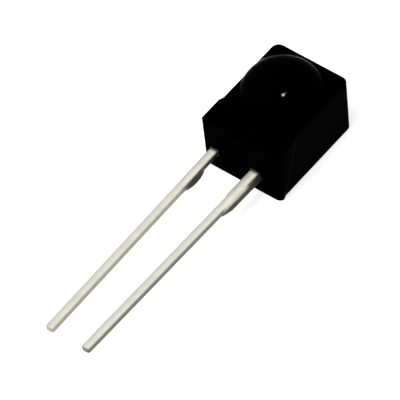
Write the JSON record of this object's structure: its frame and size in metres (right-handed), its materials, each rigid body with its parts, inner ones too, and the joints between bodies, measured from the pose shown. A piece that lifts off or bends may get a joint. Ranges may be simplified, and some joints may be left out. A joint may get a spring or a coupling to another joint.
{
  "type": "side-view pin photodiode",
  "caption": "Black side-view PIN photodiode with a domed lens on its front and tinned leads that leave its bottom face.",
  "frame": {"origin": "on the flat back face of the package, straight under the centre of the lens", "axes": "+Z along the optical axis, out of the lens; +Y up the package and away from the leads; +X from the anode lead to the cathode lead. The part lies on its back."},
  "size_m": [0.0048, 0.0194, 0.0051],
  "materials": {
    "black_epoxy": "smooth moulded epoxy, black to visible light",
    "tinned_metal": "satin tin plating over stamped strip",
    "silicon": "polished die with an anti-reflection coat",
    "silver_epoxy": "dull silver-filled adhesive",
    "gold": "drawn gold wire"
  },
  "bodies": {
    "root": {"epoxy_body": "black_epoxy", "anode_lead": "tinned_metal", "cathode_lead": "tinned_metal", "photodiode_chip": "silicon", "die_attach": "silver_epoxy", "bond_wire": "gold"}
  },
  "joints": []
}
